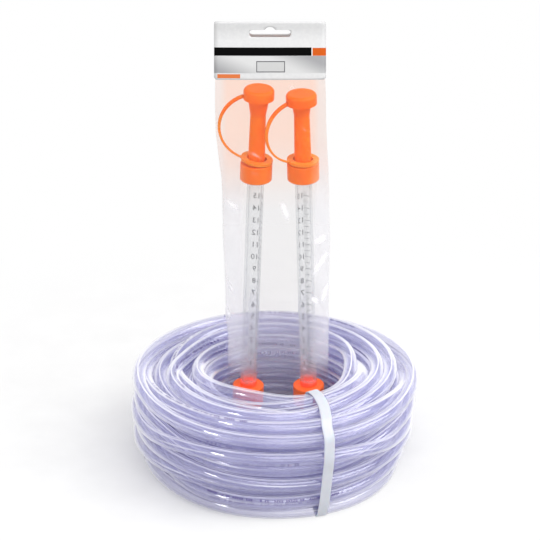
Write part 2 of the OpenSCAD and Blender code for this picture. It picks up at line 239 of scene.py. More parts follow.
# Light, floor and background, in metres and watts. Lamps: name, place, aim, size, power
FLOOR_M = 12
FLOOR_LIFT = 0.27
FLOOR_GREYS = ((0.54, 0.54, 0.54), (0.57, 0.57, 0.57))
WHITE_FROM_M = (0.17, 0.40)
# Painted light: ahead of the object, towards the front right, the floor is partly painted white over its
# shadow; way, distances and share
PAINTED_LIGHT_WAY = (0.5, -0.87, 0)
PAINTED_LIGHT_FROM_M = (0.04, 0.10)
PAINTED_LIGHT_SHARE = 0.7
WORLD_LEVEL = 0.75
CLEAR_LAYERS = 32
LAMPS = (
    ("key", (1.10, -0.15, 1.20), (0, 0, 0.1), 0.90, 12.0),
    ("front_right", (0.35, -0.75, 1.45), (0, 0, 0.1), 1.20, 11.5),
    ("front_left", (-1.19, -1.07, 1.10), (0, 0, 0.12), 0.30, 6.5),
)


# Short calls for points and meshes

def smoothstep(x):
    x = np.clip(x, 0, 1)
    return x * x * (3 - 2 * x)


def unit_rows(rows):
    return rows / np.linalg.norm(rows, axis=1)[:, None]


def run_lengths(points):
    """Length of the run from the first point to each point."""
    return np.concatenate([[0], np.cumsum(np.linalg.norm(np.diff(points, axis=0), axis=1))])


def arc(x, z, r, start, end, count):
    """Points of an arc between two angles in degrees."""
    return [(x + r * math.cos(a), z + r * math.sin(a)) for a in np.radians(np.linspace(start, end, count))]


def add_object(name, data):
    made = bpy.data.objects.new(name, data)
    scene.collection.objects.link(made)
    return made


def mesh_object(name, points, faces, smooth=True):
    """An object whose points are given in millimetres."""
    mesh = bpy.data.meshes.new(name)
    mesh.from_pydata([tuple(p) for p in np.asarray(points, float) * MM], [], [tuple(f) for f in faces])
    mesh.polygons.foreach_set("use_smooth", [smooth] * len(mesh.polygons))
    mesh.update()
    return add_object(name, mesh)


def grid_faces(rings, sides, closed=True, start=0):
    """Quads between rings of points laid one after another."""
    faces = []
    for i in range(rings - 1):
        for k in range(sides if closed else sides - 1):
            a = start + i * sides + k
            b = start + i * sides + (k + 1) % sides
            faces.append((a, b, b + sides, a + sides))
    return faces


def fix_normals(piece):
    shape = bmesh.new()
    shape.from_mesh(piece.data)
    bmesh.ops.recalc_face_normals(shape, faces=shape.faces)
    shape.to_mesh(piece.data)
    shape.free()


def final_mesh(piece):
    """The piece's mesh with its modifiers made final."""
    bpy.context.view_layer.update()
    return bpy.data.meshes.new_from_object(piece.evaluated_get(bpy.context.evaluated_depsgraph_get()))


def dress(piece, material):
    piece.data.materials.clear()
    piece.data.materials.append(material)


def aim(thing, place, way):
    """Puts a camera or lamp at a place in metres, looking one way."""
    thing.location = place
    thing.rotation_mode = "QUATERNION"
    thing.rotation_quaternion = way.to_track_quat("-Z", "Y")


def make_camera():
    elevation = math.radians(CAMERA_ELEVATION)
    back = Vector((0, -math.cos(elevation), math.sin(elevation)))
    data = bpy.data.cameras.new("camera")
    data.lens = CAMERA_LENS
    data.sensor_width = SENSOR_W
    data.clip_end = CLIP_END_M
    scene.camera = add_object("camera", data)
    aim(scene.camera, (Vector(CAMERA_TARGET) + back * CAMERA_DISTANCE) * MM, -back)


# The hose: one path, wound in three layers and relaxed in planes round the coil

def bundle_outline(inset):
    """Outline of one layer as radius and height, down from its upper outer corner, and its lengths."""
    in_r, out_r = TURN_IN + inset, TURN_OUT - inset
    low, high = TURN_LOW + inset, TURN_HIGH - inset
    corner = max(BUNDLE_R - inset, LEAST_CORNER)
    points = [(out_r, high - corner)]
    corners = [(out_r - corner, low + corner), (in_r + corner, low + corner),
               (in_r + corner, high - corner), (out_r - corner, high - corner)]
    for number, (r, z) in enumerate(corners):
        points += arc(r, z, corner, -90 * number, -90 * (number + 1), CORNER_POINTS)
    points = np.array(points)
    return points, run_lengths(points)


def along(outline, s):
    points, lengths = outline
    s = np.mod(s, lengths[-1])
    return np.stack([np.interp(s, lengths, points[:, 0]), np.interp(s, lengths, points[:, 1])], -1)


def outward(outline, s):
    """Unit vector out of the layer at each s."""
    step = along(outline, s + 0.5) - along(outline, s - 0.5)
    return unit_rows(np.stack([-step[:, 1], step[:, 0]], -1))


def wound_targets():
    """Where each point of the hose would lie in neat layers, as radius and height, in order along it."""
    outer, second, third = (bundle_outline(LAYER_STEP * n) for n in range(3))
    count = int(round((INNER_TURNS + OUTER_TURNS) * PLANES)) + 1
    t = np.arange(count) / PLANES
    tau = t - INNER_TURNS
    s = START_S + TURN_PITCH * np.where(tau > -1, tau, t)
    lift = np.zeros(count)
    azimuth = START_AZIMUTH + 360 * np.mod(tau, 1)
    for turn, cross, back, way in CROSSINGS:
        w = smoothstep((azimuth - cross) / CROSS_SPAN + 0.5) - smoothstep((azimuth - back) / CROSS_SPAN + 0.5)
        first = np.floor(tau) == turn
        after = np.floor(tau) == turn + 1
        s = s + TURN_PITCH * w * (first * 1.0 - after * 1.0)
        lift = lift + CROSS_LIFT * 4 * w * (1 - w) * (first if way > 0 else after)
    outer_layer = along(outer, s) + lift[:, None] * outward(outer, s)
    third_layer = along(third, THIRD_S + third[1][-1] / THIRD_ROUND * (t - THIRD_TURN))
    second_layer = along(second, SECOND_S + second[1][-1] / SECOND_ROUND * (t - INNER_TURNS))
    path = outer_layer
    for layer, (start, end) in ((third_layer, TO_THIRD), (second_layer, TO_SECOND), (outer_layer, TO_OUTER)):
        path = path + (layer - path) * smoothstep((t - start) / (end - start))[:, None]
    return path


def wander(count, rng, span, amount):
    """Slow random drift along the hose."""
    kernel = np.hanning(2 * span + 1)
    raw = rng.normal(size=(count + 2 * span, 2))
    drift = np.stack([np.convolve(raw[:, k], kernel, "valid") for k in range(2)], -1)
    return amount * drift / drift.std()


def push_apart(path, turns):
    """Moves points of different turns in one plane until they stand a hose diameter apart."""
    padded = np.zeros((turns * PLANES, 2))
    padded[:len(path)] = path
    padded[len(path):, 0] = FAR_OFF + FAR_STEP * np.arange(turns * PLANES - len(path))
    grid = padded.reshape(turns, PLANES, 2)
    gap = grid[:, None] - grid[None, :]
    distance = np.sqrt((gap ** 2).sum(-1)) + 1e-6
    push = np.clip(HOSE_D * SPACE_SHARE - distance, 0, None)
    push[np.arange(turns), np.arange(turns)] = 0
    move = (gap / distance[..., None] * push[..., None] * PUSH_SHARE).sum(1)
    return path + np.clip(move.reshape(-1, 2)[:len(path)], -PUSH_MOST, PUSH_MOST)


def ease(path, share):
    """Moves each point a share of the way to the middle of its neighbours."""
    path[1:-1] += share * ((path[:-2] + path[2:]) / 2 - path[1:-1])


def azimuths(count):
    """Azimuth of each point of the path, in degrees."""
    return START_AZIMUTH + 360 * np.arange(count) / PLANES


def relaxed_path():
    rng = np.random.default_rng(SEED)
    target = wound_targets()
    count = len(target)
    loose = np.minimum(1, np.minimum(np.arange(count), count - 1 - np.arange(count)) / (PLANES / 3))[:, None]
    drift = wander(count, rng, PLANES // 2, SLOW_DRIFT) + wander(count, rng, PLANES // 6, QUICK_DRIFT)
    target = target + loose * drift
    path = target.copy()
    turns = math.ceil(count / PLANES)
    held = np.concatenate([np.arange(HELD_POINTS), np.arange(count - HELD_POINTS, count)])
    for step in range(RELAX_STEPS):
        path = path + PULL_SHARE * (1 - step / RELAX_STEPS) * (target - path)
        for _ in range(EASE_ROUNDS):
            ease(path, EASE_SHARE)
        path = push_apart(path, turns)
        path[:, 0] = np.clip(path[:, 0], TURN_IN - ROOM_IN, TURN_OUT + ROOM_OUT)
        path[:, 1] = np.clip(path[:, 1], HOSE_D / 2, TURN_HIGH)
        path[held] = target[held]
    for _ in range(LAST_EASE_ROUNDS):
        ease(path, LAST_EASE_SHARE)
        path[held] = target[held]
    azimuth = np.radians(azimuths(count))
    sides = np.cos(azimuth)
    low = smoothstep((WAIST_Z - path[:, 1]) / WAIST_SPAN) * (WAIST * sides ** 2 + WAIST_SKEW * sides)
    inner = 1 - smoothstep((path[:, 0] - TURN_IN) / (TURN_OUT - TURN_IN))
    path[:, 0] += loose[:, 0] * (EYE_SHIFT * sides * inner - low)
    path[:, 1] -= loose[:, 0] * TOP_TILT * np.sin(azimuth) * smoothstep((path[:, 1] - TILT_Z) / TILT_SPAN)
    return path


def hose_centreline():
    """The hose's middle line from one cut end to the other, with the straight ends."""
    path = relaxed_path()
    azimuth = np.radians(azimuths(len(path)))
    line = np.stack([path[:, 0] * np.cos(azimuth), path[:, 0] * np.sin(azimuth), path[:, 1]], -1)
    ends = []
    for first, angle, way in ((line[0], azimuth[0], -1), (line[-1], azimuth[-1], 1)):
        ahead = way * np.array([-math.sin(angle), math.cos(angle), 0])
        ends.append([first + ahead * d for d in np.linspace(STUB_L / STUB_STEPS, STUB_L, STUB_STEPS)])
    return path, np.concatenate([ends[0][::-1], line, ends[1]])


def tube_rings(line, radius, sides):
    """Rings of points round a line that runs round the Z axis."""
    ahead = unit_rows(np.gradient(line, axis=0))
    out = line * [1, 1, 0]
    out = unit_rows(out - (out * ahead).sum(1)[:, None] * ahead)
    up = np.cross(ahead, out)
    angles = np.linspace(0, 2 * math.pi, sides, endpoint=False)
    ring = np.cos(angles)[None, :, None] * out[:, None] + np.sin(angles)[None, :, None] * up[:, None]
    return (line[:, None] + radius * ring).reshape(-1, 3)


def mark_along(hose, line):
    """A UV layer: metres along the hose, and the share of the way round it from its outer side."""
    uv = hose.data.uv_layers.new(name="along")
    index = np.zeros(len(hose.data.loops), int)
    hose.data.loops.foreach_get("vertex_index", index)
    side = (np.mod(index, HOSE_SIDES) / HOSE_SIDES).reshape(-1, 4)
    side[(np.ptp(side, axis=1) > 0.5)[:, None] & (side == 0)] = 1
    places = np.stack([run_lengths(line)[np.mod(index // HOSE_SIDES, len(line))] * MM, side.ravel()], -1)
    uv.data.foreach_set("uv", places.ravel())


def make_hose():
    path, line = hose_centreline()
    rings = len(line)
    skin = tube_rings(line, HOSE_D / 2, HOSE_SIDES)
    bore = tube_rings(line, HOSE_D / 2 - HOSE_WALL, HOSE_SIDES)
    inside = len(skin)
    faces = [f[::-1] for f in grid_faces(rings, HOSE_SIDES)]
    faces += grid_faces(rings, HOSE_SIDES, start=inside)
    for ring, flip in ((0, False), (rings - 1, True)):
        for k in range(HOSE_SIDES):
            a, b = ring * HOSE_SIDES + k, ring * HOSE_SIDES + (k + 1) % HOSE_SIDES
            face = (a, b, inside + b, inside + a)
            faces.append(face[::-1] if flip else face)
    hose = mesh_object("hose", np.concatenate([skin, bore]), faces)
    mark_along(hose, line)
    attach(hose, "coil")
    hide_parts("hose_winding", "hose_core", "hose_end_a", "hose_end_b")
    dress(hose, hose_material())
    return path


# Short calls for shader nodes

BLACK = (0, 0, 0, 1)
WHITE = (1, 1, 1, 1)


def node(tree, kind, inputs=None, **settings):
    """Adds a shader node, with its settings and with values or links on its inputs."""
    made = tree.nodes.new("ShaderNode" + kind)
    for name, value in settings.items():
        setattr(made, name, value)
    for name, value in (inputs or {}).items():
        if isinstance(value, bpy.types.NodeSocket):
            tree.links.new(value, made.inputs[name])
        else:
            made.inputs[name].default_value = value
    return made


def new_material(name):
    made = bpy.data.materials.new(name)
    made.use_nodes = True
    made.node_tree.nodes.clear()
    return made, made.node_tree


def set_surface(tree, shader):
    node(tree, "OutputMaterial", {"Surface": shader})


def plastic(tree, inputs):
    return node(tree, "BsdfPrincipled", inputs).outputs[0]


def maths(tree, operation, *values):
    return node(tree, "Math", dict(enumerate(values)), operation=operation).outputs[0]


def times(tree, first, second):
    return maths(tree, "MULTIPLY", first, second)


def topped(tree, base, share, amount):
    """The base with a share of the amount added."""
    return maths(tree, "MULTIPLY_ADD", share, amount, base)


def larger(tree, first, second):
    return maths(tree, "MAXIMUM", first, second)


def away_from(tree, value, middle):
    return maths(tree, "ABSOLUTE", maths(tree, "SUBTRACT", value, middle))


def between(tree, value, low, high):
    return times(tree, maths(tree, "GREATER_THAN", value, low), maths(tree, "LESS_THAN", value, high))


def vectors(tree, operation, *values):
    return node(tree, "VectorMath", dict(enumerate(values)), operation=operation).outputs


def axes_of(tree, place):
    return node(tree, "SeparateXYZ", {"Vector": place}).outputs


def ramp(tree, value, span, first=0.0, last=1.0, soft=True):
    """Goes from first to last while the value crosses the span, with soft ends or evenly."""
    return node(tree, "MapRange", {"Value": value, "From Min": span[0], "From Max": span[1],
                                   "To Min": first, "To Max": last},
                interpolation_type="SMOOTHSTEP" if soft else "LINEAR").outputs["Result"]


def ranged(tree, value, low, high):
    return ramp(tree, value, (0.0, 1.0), low, high, soft=False)


def metres(span):
    return tuple(s * MM for s in span)


def object_place(tree):
    return node(tree, "TexCoord").outputs["Object"]


def noise_value(tree, place, scale, detail=3.0, roughness=0.55):
    inputs = {"Vector": place, "Scale": scale, "Detail": detail, "Roughness": roughness}
    return node(tree, "TexNoise", inputs).outputs["Fac"]


def noise_along(tree, u, scale):
    return node(tree, "TexNoise", {"W": u, "Scale": scale}, noise_dimensions="1D").outputs["Fac"]


def two_tone(tree, factor, dark, light, low=0.3, high=0.7):
    made = node(tree, "ValToRGB", {"Fac": factor})
    for element, place, colour in zip(made.color_ramp.elements, (low, high), (dark, light)):
        element.position = place
        element.color = (*colour, 1)
    return made.outputs["Color"]


def mixed(tree, factor, first, second):
    return node(tree, "Mix", {"Factor": factor, 6: first, 7: second}, data_type="RGBA").outputs[2]


def bumped(tree, height, strength, distance):
    inputs = {"Height": height, "Strength": strength, "Distance": distance}
    return node(tree, "Bump", inputs).outputs["Normal"]


def seen_rays(tree):
    """1 for rays that show a surface to the eye, straight or in a mirror or a clear piece."""
    rays = node(tree, "LightPath").outputs
    not_straight = larger(tree, rays["Is Glossy Ray"], rays["Is Transmission Ray"])
    return larger(tree, rays["Is Camera Ray"], not_straight)


def facing(tree, normal=None):
    """0 where a surface is seen face on, and 1 where it is seen edge on."""
    inputs = {"Blend": 0.5}
    if normal:
        inputs["Normal"] = normal
    return node(tree, "LayerWeight", inputs).outputs["Facing"]


# Shares of the shadow of a clear skin's body and of its gloss that the light finds a way round
SHADOW_EASE = 0.93
GLOSS_EASE = 0.3
GLANCE_POWER = 5.0


def clear_skin(tree, body, share, tint, polish, least, normal=None, most=1.0):
    """A see-through skin: the body's share of it shows, the rest lets light through, and its edges mirror.

    It mirrors the least share face on and the most at a glancing angle.
    """
    shadow = node(tree, "LightPath").outputs["Is Shadow Ray"]
    share = times(tree, share, topped(tree, 1.0, shadow, -SHADOW_EASE))
    glance = maths(tree, "POWER", facing(tree, normal), GLANCE_POWER)
    mirrored = times(tree, topped(tree, least, glance, most - least), topped(tree, 1.0, shadow, -GLOSS_EASE))
    through = node(tree, "BsdfTransparent", {"Color": tint}).outputs[0]
    inner = node(tree, "MixShader", {"Fac": share, 1: through, 2: body}).outputs[0]
    gloss_inputs = {"Color": WHITE, "Roughness": polish}
    if normal:
        gloss_inputs["Normal"] = normal
    gloss = node(tree, "BsdfGlossy", gloss_inputs).outputs[0]
    return node(tree, "MixShader", {"Fac": mirrored, 1: inner, 2: gloss}).outputs[0]


# Painted lines of light and shade along the hose's wall: share of the way round from its outer side, and
# reach
PAINTED_HIGHLIGHT_LINE = (0.778, 0.028)
PAINTED_FAINT_HIGHLIGHT_LINE = (0.945, 0.026)
PAINTED_SHADE_LINE = (0.145, 0.045)
LINE_CORE = 0.010
FAINT_BREAKS_PER_M = 8.0
# Painted highlight: span of facing over which the hose's colour turns pale towards its edges as seen
HOSE_PAINTED_RIM = (0.50, 0.76)
HOSE_TINTS = ((0.30, 0.305, 0.575), (0.385, 0.395, 0.65))
HOSE_PAINTED_HIGHLIGHT = (0.98, 0.98, 1.0, 1)
HOSE_PAINTED_SHADE = (0.15, 0.14, 0.34, 1)
HOSE_INK = (0.10, 0.08, 0.22, 1)
HOSE_THROUGH = (0.987, 0.984, 0.998, 1)

# Dashes printed along the hose: in runs, in rows that twist slowly round it, with some left out
DASHES_PER_M = 600.0
DASH_SHARE = 0.62
LEFT_OUT_SHARE = 0.3
RUNS_PER_M = 2.3
RUN_SHARE = 0.24
ROWS_ROUND = 2.0
ROW_SHARES = (0.30, 0.41)
TWISTS_PER_M = 0.9
TWIST = 3.0


def wall_line(tree, v, line):
    middle, reach = line
    return ramp(tree, away_from(tree, v, middle), (LINE_CORE, reach), 1.0, 0.0)


def printed_dashes(tree, u, v):
    twist = times(tree, noise_along(tree, u, TWISTS_PER_M), TWIST)
    row = maths(tree, "FRACT", topped(tree, twist, v, ROWS_ROUND))
    cells = times(tree, u, DASHES_PER_M)
    chance = node(tree, "TexWhiteNoise", {"W": maths(tree, "FLOOR", cells)}, noise_dimensions="1D")
    dash = times(tree, maths(tree, "GREATER_THAN", chance.outputs["Value"], LEFT_OUT_SHARE),
                 maths(tree, "LESS_THAN", maths(tree, "FRACT", cells), DASH_SHARE))
    run = maths(tree, "LESS_THAN", maths(tree, "FRACT", times(tree, u, RUNS_PER_M)), RUN_SHARE)
    return times(tree, times(tree, dash, run), between(tree, row, *ROW_SHARES))


def hose_material():
    made, tree = new_material("clear_pvc")
    place = object_place(tree)
    along_hose = axes_of(tree, node(tree, "UVMap", uv_map="along").outputs["UV"])
    u, v = along_hose["X"], along_hose["Y"]
    cloud = noise_value(tree, place, scale=45.0)
    # Painted highlights pale the colour towards the edges and along two lines round the wall; painted shade
    # darkens it along a third line
    rim = ramp(tree, facing(tree), HOSE_PAINTED_RIM)
    line, faint, shade = (wall_line(tree, v, which) for which in (PAINTED_HIGHLIGHT_LINE, PAINTED_FAINT_HIGHLIGHT_LINE, PAINTED_SHADE_LINE))
    faint = times(tree, faint, ranged(tree, noise_along(tree, u, FAINT_BREAKS_PER_M), low=-0.6, high=1.6))
    mark = printed_dashes(tree, u, v)
    pale = larger(tree, rim, larger(tree, line, faint))
    wall = mixed(tree, shade, mixed(tree, pale, two_tone(tree, cloud, *HOSE_TINTS), HOSE_PAINTED_HIGHLIGHT), HOSE_PAINTED_SHADE)
    ripple = bumped(tree, noise_value(tree, place, scale=90.0, detail=2.0), strength=0.12, distance=0.0006)
    body = plastic(tree, {"Base Color": mixed(tree, mark, wall, HOSE_INK), "Roughness": 0.5,
                          "Specular IOR Level": 0.0, "Normal": ripple})
    share = topped(tree, ranged(tree, cloud, low=0.10, high=0.15), rim, 0.55)
    for mask, strength in ((line, 0.42), (shade, 0.30), (faint, 0.46), (mark, 0.9)):
        share = larger(tree, share, times(tree, mask, strength))
    polish = ranged(tree, noise_value(tree, place, scale=30.0), low=0.05, high=0.12)
    set_surface(tree, clear_skin(tree, body, share, HOSE_THROUGH, polish, least=0.045, normal=ripple))
    return made


STRAP_TINTS = ((0.56, 0.585, 0.645), (0.625, 0.65, 0.71))


def strap_material():
    made, tree = new_material("strapping")
    place = object_place(tree)
    streak = noise_value(tree, place, scale=260.0, detail=2.0)
    set_surface(tree, plastic(tree, {
        "Base Color": two_tone(tree, noise_value(tree, place, scale=60.0), *STRAP_TINTS),
        "Roughness": ranged(tree, streak, low=0.3, high=0.5), "Subsurface Weight": 0.15,
        "Subsurface Scale": 0.002, "Normal": bumped(tree, streak, strength=0.25, distance=0.0003)}))
    return made


# Painted white glints on the bag's front, from one end to the other as x and z, with their widths and
# strengths
PAINTED_GLINTS = ((3, 215, 12, 186, 4.0, 0.7), (26, 140, 42, 168, 4.0, 0.9), (29, 169, 39, 179, 4.6, 1.0),
         (34, 118, 41, 140, 3.2, 0.8), (-38, 148, -27, 122, 3.0, 0.6), (-37, 122, -32, 104, 3.2, 0.7),
         (-38, 209, -24, 196, 4.0, 0.8), (26, 129, 34, 121, 3.8, 0.9), (-26, 250, 1, 236, 3.0, 0.35),
         (8, 300, 18, 293, 3.0, 0.4), (15, 272, 27, 256, 2.2, 0.25), (-22, 232, -6, 226, 2.4, 0.25))
PAINTED_GLINT_SHOWS = (0.1, 1.0)

# Where painted light, the orange glow of the caps behind it, tints the film, and where it is milky: by
# heights and distances aside
CAP_GLOW_HEIGHTS = (200, 250)
CAP_GLOW_ASIDE = (30, 37)
CAP_GLOW_LEAST = 0.4
VEIL_LOW = (60, 74)
VEIL_HIGH = (100, 130)
VEIL_SHARE = 0.055
MARGIN_ASIDE = (22, 30)
MARGIN_SHARE = 0.15
STRIP_LOW = (52, 62)
STRIP_HIGH = (100, 124)
STRIP_ASIDE = (2.0, 4.5)
STRIP_SHARE = 0.24
PAINTED_GLINT_SHARE = 0.7
FILM_MILK = (0.95, 0.945, 0.98, 1)
FILM_CAP_GLOW = (0.98, 0.84, 0.78, 1)
FILM_PAINTED_GLINT = (0.98, 0.965, 0.965, 1)
FILM_THROUGH = (0.970, 0.967, 0.968, 1)
FILM_CAP_GLOW_THROUGH = (0.995, 0.930, 0.898, 1)


def fold_lines(tree, place):
    """1 along the middle of each painted glint on the front, fading to 0 at its sides and ends."""
    total = 0.0
    for x0, z0, x1, z1, width, strength in PAINTED_GLINTS:
        run = Vector((x1 - x0, 0, z1 - z0)) * MM
        across = Vector((-run.z, 0, run.x)).normalized()
        middle = Vector((x0 + x1, 0, z0 + z1)) * MM / 2
        away = vectors(tree, "SUBTRACT", place, middle)[0]
        mask = strength
        for way, reach in ((run.normalized(), run.length / 2), (across, width * MM)):
            off = maths(tree, "ABSOLUTE", vectors(tree, "DOT_PRODUCT", away, way / reach)["Value"])
            mask = times(tree, ramp(tree, off, (0.0, 1.0), 1.0, 0.0), mask)
        total = maths(tree, "ADD", mask, total)
    return times(tree, total, maths(tree, "LESS_THAN", axes_of(tree, place)["Y"], BAG_Y * MM))


def pale_strips(tree, place, axes):
    """1 on the bag's back behind each tube's numbers, low down: a painted pale strip of light."""
    behind = maths(tree, "GREATER_THAN", axes["Y"], BAG_Y * MM)
    span = times(tree, ramp(tree, axes["Z"], metres(STRIP_LOW)),
                 ramp(tree, axes["Z"], metres(STRIP_HIGH), 1.0, 0.0))
    strips = 0.0
    for side in SIDES:
        foot, across, _, _ = stand(side)
        numbers_x = -TUBE_R * math.sin((DIGIT_X + PRINT_TURN[side]) / TUBE_R)
        away = vectors(tree, "SUBTRACT", place, Vector((foot + numbers_x * across) * MM))[0]
        off = maths(tree, "ABSOLUTE", vectors(tree, "DOT_PRODUCT", away, Vector(across))["Value"])
        strips = maths(tree, "ADD", ramp(tree, off, metres(STRIP_ASIDE), 1.0, 0.0), strips)
    return times(tree, times(tree, strips, behind), span)


def film_material():
    made, tree = new_material("polythene_film")
    place = object_place(tree)
    axes = axes_of(tree, place)
    high, above, clear_of_feet = (ramp(tree, axes["Z"], metres(span), soft=False)
                                  for span in (CAP_GLOW_HEIGHTS, VEIL_HIGH, VEIL_LOW))
    # Painted light: an orange glow from the caps on the film, high up and near them
    by_caps = ramp(tree, away_from(tree, axes["X"], CARD_X * MM), metres(CAP_GLOW_ASIDE), 1.0, CAP_GLOW_LEAST)
    painted_cap_glow = times(tree, high, by_caps)
    margin = ramp(tree, away_from(tree, axes["X"], BAG_X * MM), metres(MARGIN_ASIDE))
    # Painted highlights: ragged white glints along the folds of the film's front
    ragged = noise_value(tree, place, scale=110.0, detail=4.0, roughness=0.65)
    ragged_glints = times(tree, fold_lines(tree, place), ranged(tree, ragged, low=-0.6, high=2.6))
    fold = ramp(tree, ragged_glints, PAINTED_GLINT_SHOWS)
    colour = mixed(tree, fold, mixed(tree, painted_cap_glow, FILM_MILK, FILM_CAP_GLOW), FILM_PAINTED_GLINT)
    body = plastic(tree, {"Base Color": colour, "Roughness": 0.6, "Specular IOR Level": 0.0})
    below_caps = maths(tree, "SUBTRACT", clear_of_feet, high)
    share = ranged(tree, noise_value(tree, place, scale=25.0), low=0.012, high=0.022)
    for mask, amount in ((above, -VEIL_SHARE), (clear_of_feet, VEIL_SHARE),
                         (times(tree, margin, below_caps), MARGIN_SHARE),
                         (pale_strips(tree, place, axes), STRIP_SHARE), (fold, PAINTED_GLINT_SHARE)):
        share = topped(tree, share, mask, amount)
    # The painted glow of the caps also tints the light through the film
    tint = mixed(tree, painted_cap_glow, FILM_THROUGH, FILM_CAP_GLOW_THROUGH)
    polish = ranged(tree, noise_value(tree, place, scale=55.0), low=0.10, high=0.22)
    crumple = bumped(tree, noise_value(tree, place, scale=70.0, detail=2.0), strength=0.25, distance=0.0012)
    set_surface(tree, clear_skin(tree, body, share, tint, polish, least=0.01, normal=crumple, most=0.3))
    return made


# Heights between which a tube's clear foot loses the painted orange light of its fitting: its dense part,
# then its painted glow
FOOT_PAINTED_ORANGE = (48.5, 54.5)
FOOT_PAINTED_GLOW = (54, 70)
DENSE_LIFT = 3.0
TUBE_RIM = (0.3, 0.8)
TUBE_TINTS = ((0.82, 0.85, 0.84), (0.92, 0.94, 0.94))
TUBE_THROUGH = (0.978, 0.98, 0.983, 1)
TUBE_RIM_THROUGH = (0.87, 0.88, 0.89, 1)
FOOT_PAINTED_GLOW_TINT = (1.0, 0.17, 0.07, 1)
FOOT_PAINTED_ORANGE_TINT = (1.0, 0.12, 0.02, 1)
FOOT_PAINTED_PIPED_TINT = (1.0, 0.09, 0.012, 1)


def tube_material():
    """Clear plastic, with the orange light of its fitting painted on its foot. Its dense foot is shaded as if
    it faced up, because the light comes down the tube.
    """
    made, tree = new_material("clear_tube")
    place = object_place(tree)
    cloud = noise_value(tree, place, scale=50.0)
    rim = ramp(tree, facing(tree), TUBE_RIM)
    height = axes_of(tree, place)["Z"]
    # Painted light: the foot takes the orange of its fitting, deep low down and as a glow higher up
    dense, foot = (ramp(tree, height, metres(span), 1.0, 0.0) for span in (FOOT_PAINTED_ORANGE, FOOT_PAINTED_GLOW))
    glow = mixed(tree, times(tree, foot, 0.55), two_tone(tree, cloud, *TUBE_TINTS), FOOT_PAINTED_GLOW_TINT)
    upward = node(tree, "CombineXYZ", {"Z": times(tree, dense, DENSE_LIFT)}).outputs[0]
    bent = vectors(tree, "ADD", node(tree, "NewGeometry").outputs["Normal"], upward)[0]
    lit_from_above = vectors(tree, "NORMALIZE", bent)[0]
    wall = plastic(tree, {"Base Color": mixed(tree, dense, glow, FOOT_PAINTED_ORANGE_TINT), "Roughness": 0.5,
                          "Specular IOR Level": 0.0, "Normal": lit_from_above})
    piped = node(tree, "BsdfTranslucent", {"Color": mixed(tree, dense, BLACK, FOOT_PAINTED_PIPED_TINT),
                                           "Normal": lit_from_above}).outputs[0]
    body = node(tree, "AddShader", {0: wall, 1: piped}).outputs[0]
    share = ranged(tree, cloud, low=0.06, high=0.09)
    for mask, amount in ((rim, 0.15), (foot, 0.06), (dense, 0.75)):
        share = topped(tree, share, mask, amount)
    tint = mixed(tree, rim, TUBE_THROUGH, TUBE_RIM_THROUGH)
    polish = ranged(tree, noise_value(tree, place, scale=80.0), low=0.04, high=0.10)
    set_surface(tree, clear_skin(tree, body, share, tint, polish, least=0.04))
    return made


# Where a stopper's plug thickens the spout, the thin plastic shows denser
PLUG_Z = 277
PLUG_REACH = (4, 11)
PLUG_SHARE = 0.7
DENSE_ORANGE = (1.0, 0.155, 0.003, 1)
ORANGES = ((1.0, 0.185, 0.004), (1.0, 0.225, 0.006))
PALE_ORANGES = ((0.84, 0.255, 0.012), (0.90, 0.31, 0.03))
DEEP_ORANGES = ((1.0, 0.13, 0.008), (1.0, 0.16, 0.012))
ROUGHNESS_SPREAD = 0.07


def orange_material(name, dark, light, roughness, soft=0.4):
    made, tree = new_material(name)
    place = object_place(tree)
    cloud = noise_value(tree, place, scale=70.0)
    grain = noise_value(tree, place, scale=900.0, detail=2.0)
    off_plug = away_from(tree, axes_of(tree, place)["Z"], PLUG_Z * MM)
    plugged = times(tree, ramp(tree, off_plug, metres(PLUG_REACH), 1.0, 0.0), PLUG_SHARE)
    set_surface(tree, plastic(tree, {
        "Base Color": mixed(tree, plugged, two_tone(tree, cloud, dark, light), DENSE_ORANGE),
        "Roughness": ranged(tree, grain, roughness - ROUGHNESS_SPREAD, roughness + ROUGHNESS_SPREAD),
        "Specular IOR Level": 0.14, "Subsurface Weight": soft, "Subsurface Radius": (1.0, 0.35, 0.12),
        "Subsurface Scale": 0.004, "Normal": bumped(tree, grain, strength=0.08, distance=0.0002)}))
    return made


def rubber_material():
    made, tree = new_material("seal_rubber")
    grain = noise_value(tree, object_place(tree), scale=700.0)
    set_surface(tree, plastic(tree, {
        "Base Color": two_tone(tree, grain, (0.012, 0.012, 0.013), (0.035, 0.035, 0.037)),
        "Roughness": ranged(tree, grain, low=0.6, high=0.85),
        "Normal": bumped(tree, grain, strength=0.3, distance=0.0002)}))
    return made


def ink_material():
    made, tree = new_material("scale_ink")
    wear = noise_value(tree, object_place(tree), scale=400.0)
    set_surface(tree, plastic(tree, {
        "Base Color": two_tone(tree, wear, (0.02, 0.02, 0.025), (0.06, 0.06, 0.07)),
        "Roughness": ranged(tree, wear, low=0.45, high=0.65)}))
    return made


# Printed places on the card's front leaf, as left, right, low and high edges
STRIPE = (-42.9, 26.6, 319.3, 324.6)
BLOCK = (27.4, 37.0, 319.3, 324.3)
BAND = (-42.9, 37.0, 307.9, 319.2)
FRAME = (-12.8, 7.7, 308.5, 315.9)
FRAME_LINE = 0.6
BAR = (-40.6, -24.3, 304.5, 307.2)
CARD_WHITES = ((0.56, 0.56, 0.565), (0.60, 0.60, 0.60))
BAND_GREYS = ((0.30, 0.30, 0.31), (0.55, 0.55, 0.55))
# The other prints in order: place, inset from its edges, ink
PRINTS = ((FRAME, 0.0, (0.10, 0.10, 0.11, 1)), (FRAME, FRAME_LINE, (0.48, 0.48, 0.48, 1)),
          (STRIPE, 0.0, (0.002, 0.002, 0.002, 1)), (BLOCK, 0.0, (0.50, 0.088, 0.012, 1)),
          (BAR, 0.0, (0.58, 0.155, 0.05, 1)))
SWEEP_X = 9.0
SWEEP_Z = 22.0


